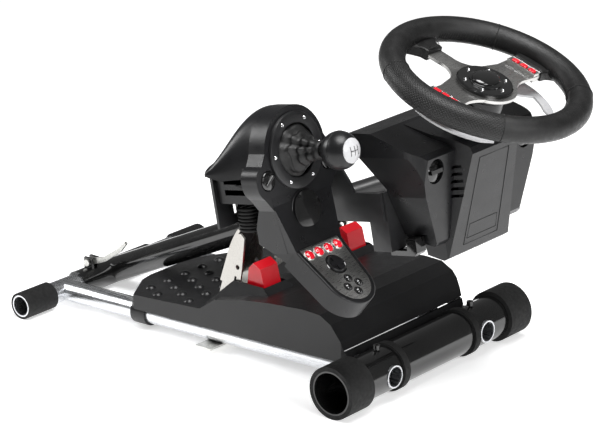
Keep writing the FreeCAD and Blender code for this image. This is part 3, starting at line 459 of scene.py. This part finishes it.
def dress_cad():
    """Every carried-over CAD node gets its slot's finish, and each one not listed as sharp gets softly rounded
    edges.
    """
    slots = {entry["node"]: entry["material_slot"] for entry in frame["record"]["subparts"]}
    for name, piece in NODES.items():
        piece.data.materials.clear()
        piece.data.materials.append(LOOKS[slots[name]])
        if name not in SHARP_NODES:
            soften(piece, BEVELS.get(name, USUAL_BEVEL), 2)


# ---------------------------------------------------------------- steering wheel

RIM_RADIUS, GRIP = 123.0, 17.0
COVER_FROM, COVER_TO = -32.0, 47.0    # the perforated section, in degrees round the wheel
COVER_WRAP = 300.0                    # and round the grip
SEAM_RADIUS, STITCH_RADIUS = 0.8, 0.35
SPOKE_CLEARANCE = 16                  # no stitches this many degrees from a spoke
SPOKES = (0, 180, -90)                # the way that each web points
HUB_TOP = -8.0
HUB_SCREWS = (90, 30, -30, -90, -150, 150)
HUB_SCREW_CIRCLE = 28.5
HUB_CAP_RADIUS = 36.4
BUTTON_BAR_SIDES = (77.9, 91.1)


def on_rim(angle, wrap, grip):
    """A point of the rim's skin in the row frame: angle goes round the wheel, wrap round the grip."""
    a, b = math.radians(angle), math.radians(wrap)
    reach = RIM_RADIUS + grip * math.cos(b)
    return WHEEL @ Vector((reach * math.cos(a), reach * math.sin(a), grip * math.sin(b)))


def build_rim_details():
    """The perforated palm section, the seams round the grip and the stitching inside the rim."""
    first, last, grip = COVER_FROM, COVER_TO, GRIP + 0.15
    steps, sides, seam_steps = 80, 48, 40
    bm = bmesh.new()
    layer = bm.loops.layers.uv.new("skin")
    rows = []
    for i in range(steps + 1):
        angle = first + (last - first) * i / steps
        wraps = [-COVER_WRAP / 2 + COVER_WRAP * j / sides for j in range(sides + 1)]
        rows.append([bm.verts.new(on_rim(angle, wrap, grip)) for wrap in wraps])
    long_unit = math.radians((last - first) / steps) * RIM_RADIUS
    round_unit = math.radians(COVER_WRAP / sides) * grip
    for i in range(steps):
        for j in range(sides):
            corners = ((i, j), (i + 1, j), (i + 1, j + 1), (i, j + 1))
            face = bm.faces.new([rows[u][v] for u, v in corners])
            for loop, (u, v) in zip(face.loops, corners):
                loop[layer].uv = (u * long_unit, v * round_unit)
    cover = make("rim_perforated_cover", bm, "wheel", PERFORATED, crisp=80)

    bm = bmesh.new()
    for angle in (first, last, 180 - first, 180 - last):
        points = [on_rim(angle, 360.0 * j / seam_steps, GRIP + 0.05) for j in range(seam_steps)]
        add_pipe(bm, points, SEAM_RADIUS * MM, WORLD, 8, closed=True)
    seams = make("rim_seams", bm, "wheel", THREAD, crisp=80)

    bm = bmesh.new()
    for angle in range(0, 360, 2):
        if any(abs((angle - spoke + 180) % 360 - 180) < SPOKE_CLEARANCE for spoke in SPOKES):
            continue
        low, high = on_rim(angle - 0.45, 168, GRIP + 0.1), on_rim(angle + 0.45, 192, GRIP + 0.1)
        middle = on_rim(angle, 180, GRIP + 0.45)
        add_pipe(bm, [low, middle, high], STITCH_RADIUS * MM, WORLD, 6)
    stitches = make("rim_stitches", bm, "wheel", THREAD, crisp=80)


def build_web_welts():
    """The leather's folded edge and its stitches round each spoke's leather end."""
    bm = bmesh.new()
    for spin, half, start in zip(SPOKES, (23.5, 23.5, 14.5), (92, 92, 84)):
        place = WHEEL @ turn(spin, "Z")
        welt = [(start + 3.0, -half + 2, -2.0), (start + 2.0, -half * 0.5, -1.6), (start + 1.8, 0, -1.5),
                (start + 2.0, half * 0.5, -1.6), (start + 3.0, half - 2, -2.0)]
        add_pipe(bm, welt, 0.7, place, 8)
        for side in (-1, 1):
            edge = [(start + 6, side * (half + 0.4), -2.4), (start + 12, side * (half + 2.5), -1.6),
                    (start + 18, side * (half + 6.0), -0.4), (start + 23, side * (half + 11), 1.6)]
            add_pipe(bm, edge, 0.55, place, 8)
        count = int(half / 3)
        for i in range(-count, count + 1):
            stitch = [(start + 4.2, i * 2.8 - 0.9, -1.9), (start + 6.6, i * 2.8 + 0.9, -1.75)]
            add_pipe(bm, stitch, 0.32, place, 6)
    piece = make("web_welts", bm, "wheel", LOOKS["black_leather"], crisp=80)


def add_screw_head(bm, radius, height, place):
    """A domed head on a short rim, with a round dimple where the driver goes."""
    add_lathe(bm, [(radius, 0), (radius, height * 0.45), (radius * 0.82, height * 0.85),
                   (radius * 0.45, height), (radius * 0.3, height * 0.7), (0, height * 0.55)], place, 24)


def build_hub_details():
    """The hub's screws, plain oval dome and a dark ring of painted shade round its edge, and the bright edges of
    the button bars.
    """
    bm = bmesh.new()
    for spot in around(HUB_SCREW_CIRCLE, HUB_TOP + 4.9, HUB_SCREWS):
        add_screw_head(bm, 2.9, 1.7, WHEEL @ spot)
    screws = make("hub_screws", bm, "wheel", BRIGHT)
    bm = bmesh.new()
    oval = Matrix.Diagonal((1.0, 0.78, 1.0, 1.0))
    base = HUB_TOP + 5.0
    add_lathe(bm, [(21.5, base), (21.5, base + 3.6), (20.2, base + 5.0), (16, base + 6.2), (9, base + 7.0),
                   (0, base + 7.3)], WHEEL @ oval, 64)
    dome = make("hub_badge_dome", bm, "wheel", LOOKS["gloss_black_plastic"], crisp=50)
    bm = bmesh.new()
    add_pipe(bm, hoop(HUB_CAP_RADIUS, HUB_TOP + 4.0, 64), 0.35, WHEEL, 8, closed=True)
    # a thin near-black ring: painted shade in the gap round the hub cap's edge
    line = make("hub_rim_painted_shade", bm, "wheel", PRINT_AND_PAINTED_SHADE)
    bm = bmesh.new()
    for side in (-1, 1):
        for x in BUTTON_BAR_SIDES:
            add_pipe(bm, [(side * x, -23.4, -3.4), (side * x, 21.0, -3.4)], 0.35, WHEEL, 8)
    edges = make("button_bar_edges", bm, "wheel", BRIGHT)


# ---------------------------------------------------------------- shifter

GAITER_SEAM, GAITER_TURNED, GAITER_TOP = 11.0, 34.0, 47.0
GAITER_LEAST = 6.4                    # the leather is never drawn in past this radius
PLEATS = 5
BEZEL_SCREWS = (0, 60, 120, 180, -60, -120)
BEZEL_SCREW_CIRCLE = 42
BALL_HEIGHT = 74                      # the middle of the lever's ball knob
BADGE_Y, BADGE_TILT = 77, 5.5
CLAMP_KNOB_X, CLAMP_KNOB_Y = 57, 26


def build_gaiter():
    """The leather boot, in two pieces that meet at the seam's height and ride on no body."""
    sides, steps = 112, 26
    profile = [(0.0, 33.6), (6.0, 30.5), (12.0, 25.0), (18.0, 20.0), (25.0, 15.5), (32.0, 13.4), (40.0, 11.5),
               (45.5, 9.8), (GAITER_TOP, 8.0)]

    def radius_at(height):
        for (low, r_low), (high, r_high) in zip(profile, profile[1:]):
            if height <= high:
                return r_low + (r_high - r_low) * (height - low) / (high - low)
        return profile[-1][1]

    def skin(height, angle):
        """A point of the leather, with its gathered pleats, its rolls and its uneven lumps."""
        share = height / GAITER_TOP
        gather = math.sin(math.pi * min(1.0, share * 1.05 + 0.05)) ** 0.7
        wander = 1.7 * math.sin(2 * angle + 0.5) + 0.9 * math.sin(3 * angle + 2.0) + 1.5 * share
        pleat = 0.5 + 0.5 * math.cos(PLEATS * angle + wander)
        roll = math.sin(height * 0.62 + 1.3 * math.sin(2 * angle + 0.6))
        lumps = noise.noise(Vector((math.cos(angle) * 2.0, math.sin(angle) * 2.0, height * 0.11)))
        smooth = radius_at(height)
        fold = 6.5 * gather * (1 - pleat) ** 1.5 * (0.5 + 0.5 * (smooth / 33))
        radius = smooth + 1.0 - fold
        radius += 1.5 * gather * roll + 2.4 * gather * lumps
        radius = max(radius, GAITER_LEAST)
        return SHIFTER @ Vector((radius * math.cos(angle), radius * math.sin(angle), height))

    parts = (("gaiter_skirt", 0.5, GAITER_SEAM, GAITER_SEAM, "platform", "gimbal"),
             ("gaiter_neck", GAITER_SEAM, GAITER_TOP, GAITER_TURNED, "gimbal", "lever"))
    for name, low, high, turned, first, second in parts:
        bm = bmesh.new()
        rows = []
        for j in range(steps + 1):
            height = low + (high - low) * j / steps
            rows.append([skin(height, 2 * math.pi * i / sides) for i in range(sides)])
        add_grid(bm, rows, close_rows=True)
        piece = make(name, bm, None, LOOKS["black_leather"], crisp=80)
        thicken(piece, 0.9, -1.0)
        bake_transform(piece)
        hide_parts("gaiter")


def build_bezel():
    """The ring round the gaiter's foot, and its screws."""
    bm = bmesh.new()
    add_lathe(bm, [(34.2, 3.4), (34.6, 4.2), (36.5, 4.6), (46.5, 4.4), (48.2, 3.9), (48.9, 2.6), (48.9, 0.1),
                   (48.2, 0.0), (48.2, 3.2), (34.2, 3.3), (34.2, 3.4)], SHIFTER, 96)
    ring = make("shifter_bezel", bm, "platform", LOOKS["satin_black_steel"], crisp=40)
    bm = bmesh.new()
    for spot in around(BEZEL_SCREW_CIRCLE, 4.4, BEZEL_SCREWS):
        add_screw_head(bm, 2.5, 1.5, SHIFTER @ spot)
    screws = make("shifter_bezel_screws", bm, "platform", BRIGHT)


def build_shifter_badge():
    """A plain dome and its ring, on the slope in front of the lever."""
    plate = SHIFTER @ shift(0, BADGE_Y, 0) @ turn(BADGE_TILT, "X")
    bm = bmesh.new()
    add_lathe(bm, [(24.6, 6.0), (24.6, 6.9), (20, 7.7), (12, 8.3), (0, 8.6)], plate, 64)
    emblem = make("shifter_badge_dome", bm, "platform", LOOKS["gloss_black_plastic"], crisp=50)
    bm = bmesh.new()
    add_pipe(bm, hoop(25.6, 3.2, 72), 0.7, plate, 8, closed=True)
    line = make("shifter_badge_ring", bm, "platform", LOOKS["satin_black_steel"])


def build_shifter_clamp_knobs():
    """Two turned knobs with a finger bar across each, one on either side of the lever."""
    bm = bmesh.new()
    for side in (-1, 1):
        place = SHIFTER @ shift(side * CLAMP_KNOB_X, CLAMP_KNOB_Y, 0)
        add_lathe(bm, [(0, -11.5), (11.6, -11.5), (12.2, -10.6), (12.2, -0.5), (11.4, 1.2), (8, 2.2),
                       (0, 2.5)], place, 56)
        add_box(bm, (-8.6, -1.9, 1.0), (8.6, 1.9, 4.6), place @ turn(35 * side, "Z"))
    knobs = make("shifter_clamp_knobs", bm, "platform", LOOKS["gloss_black_plastic"], bevel=0.6)


def build_lever_knob():
    """The ball's cap, a generic gear pattern on it, the ball's seam and the collar below it."""
    bm = bmesh.new()
    add_lathe(bm, [(15.9, 92.9), (15.8, 93.9), (13.2, 95.4), (9, 97.1), (4.5, 98.4), (0, 98.8)], SHIFTER, 64)
    cap = make("knob_cap", bm, "lever", LOOKS["silver_plastic"])
    bm = bmesh.new()
    gates = [[(x, y) for y in (-6, -3, 0, 3, 6)] for x in (-6.5, 0, 6.5)]
    gates.append([(x, 0) for x in (-6.5, -3, 0, 3, 6.5)])
    pattern_height, pattern_radius = BALL_HEIGHT + 0.05, 24.8
    for gate in gates:
        line = [(x, y, pattern_height + math.sqrt(pattern_radius ** 2 - x * x - y * y)) for x, y in gate]
        add_pipe(bm, line, 0.4, SHIFTER, 6)
    pattern = make("knob_gear_pattern", bm, "lever", PRINT_AND_PAINTED_SHADE)
    bm = bmesh.new()
    add_pipe(bm, hoop(24.55, BALL_HEIGHT, 72), 0.28, SHIFTER, 6, closed=True)
    add_lathe(bm, [(6.2, 47.5), (8.4, 48.0), (8.8, 49.2), (8.4, 51.5), (6.4, 52.0)], SHIFTER, 40)
    collar = make("knob_collar", bm, "lever", LOOKS["satin_black_plastic"])


RED_X, RED_Y = (-27.0, -9.0, 9.0, 27.0), 9
BLACK_SPOTS = ((0.0, 58.0), (10.5, 68.5), (0.0, 79.0), (-10.5, 68.5))


def build_console_details():
    """Raised rims round the red and the black buttons and the pad, and a dark line of painted shade in the groove
    round the panel.
    """
    bm = bmesh.new()
    for x in RED_X:
        place = CONSOLE @ shift(x, RED_Y, 0)
        add_lathe(bm, [(6.9, 0.0), (6.9, 0.9), (7.3, 1.3), (7.9, 0.8), (8.1, 0.0), (6.9, 0.0)], place, 48)
    rims = make("red_button_rims", bm, "platform", LOOKS["zinc_steel"])
    bm = bmesh.new()
    for x, y in BLACK_SPOTS:
        add_lathe(bm, [(5.35, -0.2), (5.35, 0.5), (5.9, 0.6), (6.4, 0.1), (6.4, -0.2), (5.35, -0.2)],
                  CONSOLE @ shift(x, y, 0), 40)
    add_lathe(bm, [(13.3, -1.6), (13.3, 0.4), (14.2, 0.7), (15.2, 0.2), (15.2, -0.2), (13.3, -1.6)],
              CONSOLE @ shift(0, PAD_Y, 0), 64)
    rims = make("black_button_rims", bm, "platform", LOOKS["gloss_black_plastic"])
    bm = bmesh.new()
    half, end, foot, shoulder = 37.2, 31.7, -1.0, 60
    outline = [(half, foot), (end, shoulder)] + arc(end, 0, 180, 30, (0, shoulder))[1:-1]
    outline += [(-end, shoulder), (-half, foot)]
    add_pipe(bm, [(x, y, 0.15) for x, y in outline], 0.42, CONSOLE, 8, closed=True)
    # a near-black strip: painted shade in the groove round the panel
    groove = make("panel_groove_painted_shade", bm, "platform", PRINT_AND_PAINTED_SHADE)


LEAD_DIAMETER = 4.4


def build_lead_hank():
    """The shifter's spare lead: seven turns, each two straight runs joined by half circles."""
    turns, per_turn, pitch, fold, run = 7, 16, 4.55, 14.2, 29.0
    centre = Vector((0, 80.8, -67))
    near = centre.z + fold
    points = [Vector((44, 57.0, near)), Vector((32, 58.5, near)), Vector((18, 62, near))]
    for step in range(turns * per_turn + 1):
        angle = 2 * math.pi * (step / per_turn + 0.25)
        cosine = math.cos(angle)
        across = 0.0 if abs(cosine) < 0.01 else math.copysign(run, cosine)
        drop = pitch * (step / per_turn - turns / 2)
        points.append(centre + Vector((across + fold * cosine, drop, fold * math.sin(angle))))
    points += [Vector((-22, 96.7, near)), Vector((-38, 95, near)), Vector((-49, 86, near)),
               Vector((-50, 72, near)), Vector((-46, 62, near)), Vector((-38, 57, near))]
    data = bpy.data.curves.new("shifter_lead", "CURVE")
    data.dimensions = "3D"
    data.bevel_depth = LEAD_DIAMETER / 2 * MM
    data.bevel_resolution = 4
    spline = data.splines.new("NURBS")
    spline.points.add(len(points) - 1)
    for target, point in zip(spline.points, points):
        target.co = (*(SHIFTER @ point), 1.0)
    spline.order_u = 3
    spline.use_endpoint_u = True
    data.resolution_u = 6
    data.materials.append(LOOKS["cable_black"])
    lead = bpy.data.objects.new("shifter_lead", data)
    bpy.context.scene.collection.objects.link(lead)
    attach(lead, "platform")
    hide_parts("shifter_lead_hank")


# ---------------------------------------------------------------- wheel base

def build_base_details():
    """Dark lines of painted shade that outline the spine's panel and the small recess low on it."""
    top, low = Vector((0, -27, 92)), Vector((0, 107, 42))
    slope = math.degrees(math.atan2(low.z - top.z, low.y - top.y))
    face = UPPER @ Matrix.Translation(top) @ turn(slope, "X")
    bm = bmesh.new()
    panel = [(-31, 9), (31, 9), (36, 132), (-36, 132)]
    add_pipe(bm, [(x, y, 0.05) for x, y in panel], 0.5, face, 6, closed=True)
    recess = [(-29, 104), (29, 104), (31, 124), (-31, 124)]
    add_pipe(bm, [(x, y, 0.05) for x, y in recess], 0.4, face, 6, closed=True)
    # near-black strips: painted shade along the panel's edge and the recess's edge
    lines = make("spine_panel_painted_shade_lines", bm, "platform", PRINT_AND_PAINTED_SHADE)


# ---------------------------------------------------------------- pedals

PEDAL_HALF = 21.0
TREAD_XS = (-18.5, -9, 0, 9, 18.5)
RIB_HALF = 15
PLATE_SLOT = ((317, 84), (321, 94), (325, 108))
PEDAL_FACE = ((297.2, 99), (303, 107), (308.4, 116), (312.6, 126), (316, 137), (320, 147.5), (325, 157),
              (330.4, 166.5), (335, 174))


def build_pedal_details():
    """A ribbed black tread on each pedal's face, and a near-black strip of painted shade over the slot in each of
    its side plates.
    """
    origin = GROUND.inverted()
    for name in ("gas", "brake", "clutch"):
        low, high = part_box(name + "_pedal")
        centre = (origin @ Vector(((low[0] + high[0]) / 2, 0, 0))).x
        bm = bmesh.new()
        rows = []
        for y, z in PEDAL_FACE:
            rows.append([GROUND @ Vector((centre + x, y - 0.2, z + 0.1)) for x in TREAD_XS])
        add_grid(bm, rows)
        skin = make(name + "_tread", bm, name, LOOKS["black_rubber"], crisp=80)
        thicken(skin, 1.6, 0.0)
        soften(skin, 0.5)
        bm = bmesh.new()
        for (y, z), (y_next, z_next) in zip(PEDAL_FACE, PEDAL_FACE[1:]):
            middle = ((y + y_next) / 2 - 0.9, (z + z_next) / 2 + 0.5)
            add_pipe(bm, [(centre - RIB_HALF, *middle), (centre + RIB_HALF, *middle)], 0.9, GROUND, 8)
        ribs = make(name + "_tread_ribs", bm, name, LOOKS["black_rubber"], crisp=80)
        bm = bmesh.new()
        for side in (-1, 1):
            x = centre + side * (PEDAL_HALF + 0.05)
            add_pipe(bm, [(x, y, z) for y, z in PLATE_SLOT], 1.7, GROUND, 10)
        # near-black strips: painted shade where each side plate has its slot
        slots = make(name + "_plate_slot_painted_shade", bm, name, PRINT_AND_PAINTED_SHADE)
        # the round strips of painted shade are pressed almost flat on the plates
        for vert in slots.data.vertices:
            here = origin @ vert.co
            side = 1 if here.x > centre else -1
            proud = side * (here.x - centre) - PEDAL_HALF
            here.x = centre + side * (PEDAL_HALF + 0.06 + 0.05 * proud)
            vert.co = GROUND @ here


# ---------------------------------------------------------------- camera, floor and light

def camera_and_stage():
    """A long lens beyond the set on the driver's right, looking a little down, on white paper."""
    azimuth, elevation, roll = (math.radians(angle) for angle in (130.83, 19.01, -1.29))
    back = Vector((math.cos(elevation) * math.sin(azimuth), -math.cos(elevation) * math.cos(azimuth),
                   math.sin(elevation)))
    side = Z.cross(back).normalized()
    up = back.cross(side)
    side, up = (side * math.cos(roll) + up * math.sin(roll),
                up * math.cos(roll) - side * math.sin(roll))
    data = bpy.data.cameras.new("camera")
    data.sensor_width, data.lens = 36.0, 158.3
    data.clip_start, data.clip_end = 0.1, 50.0
    camera = bpy.data.objects.new("camera", data)
    rotation = Matrix((side, up, back)).transposed().to_4x4()
    # in metres, from the floor under the rear tube's middle
    distance, aside, above = 3.8996, 0.2752, 0.0956
    eye = Vector((REAR_AXIS.x, REAR_AXIS.y, 0)) + back * distance + side * aside + up * above
    camera.matrix_world = Matrix.Translation(eye) @ rotation
    bpy.context.scene.collection.objects.link(camera)
    bpy.context.scene.camera = camera

    bm = bmesh.new()
    add_box(bm, (-6000, -6000, -20), (6000, 6000, 0), Matrix.Scale(MM, 4))
    paper = Look("studio_paper", Roughness=0.9, Specular_IOR_Level=0.1)
    paper.colours(paper.noise(3.0, 2.0), (0.90, 0.90, 0.90), (0.93, 0.93, 0.93))
    paper.shader.inputs["Emission Color"].default_value = (1, 1, 1, 1)
    paper.shader.inputs["Emission Strength"].default_value = 0.5
    floor = make("floor", bm, None, paper.material)

    world = bpy.data.worlds.new("studio")
    world.use_nodes = True
    world.node_tree.nodes["Background"].inputs["Color"].default_value = (1.0, 1.0, 1.0, 1)
    world.node_tree.nodes["Background"].inputs["Strength"].default_value = 0.16
    bpy.context.scene.world = world
    bpy.context.scene.view_settings.view_transform = "Standard"

    softbox("overhead", (0.2, 0.5, 2.2), (0.0, 0.1, 0.2), 1.3, 60.0)
    softbox("left_window", (1.0, -1.9, 1.3), (0.0, 0.0, 0.3), 0.9, 26.0)
    softbox("right_window", (0.5, 2.3, 1.2), (0.0, 0.1, 0.3), 0.9, 26.0)


def softbox(name, place, target, size, power):
    data = bpy.data.lights.new(name, "AREA")
    data.size, data.energy = size, power
    light = bpy.data.objects.new(name, data)
    light.location = place
    light.rotation_euler = (Vector(target) - Vector(place)).to_track_quat("-Z", "Y").to_euler()
    bpy.context.scene.collection.objects.link(light)


camera_and_stage()
dress_cad()
build_rim_details()
build_web_welts()
build_hub_details()
build_gaiter()
build_bezel()
build_shifter_badge()
build_shifter_clamp_knobs()
build_lever_knob()
build_console_details()
build_lead_hank()
build_base_details()
build_pedal_details()
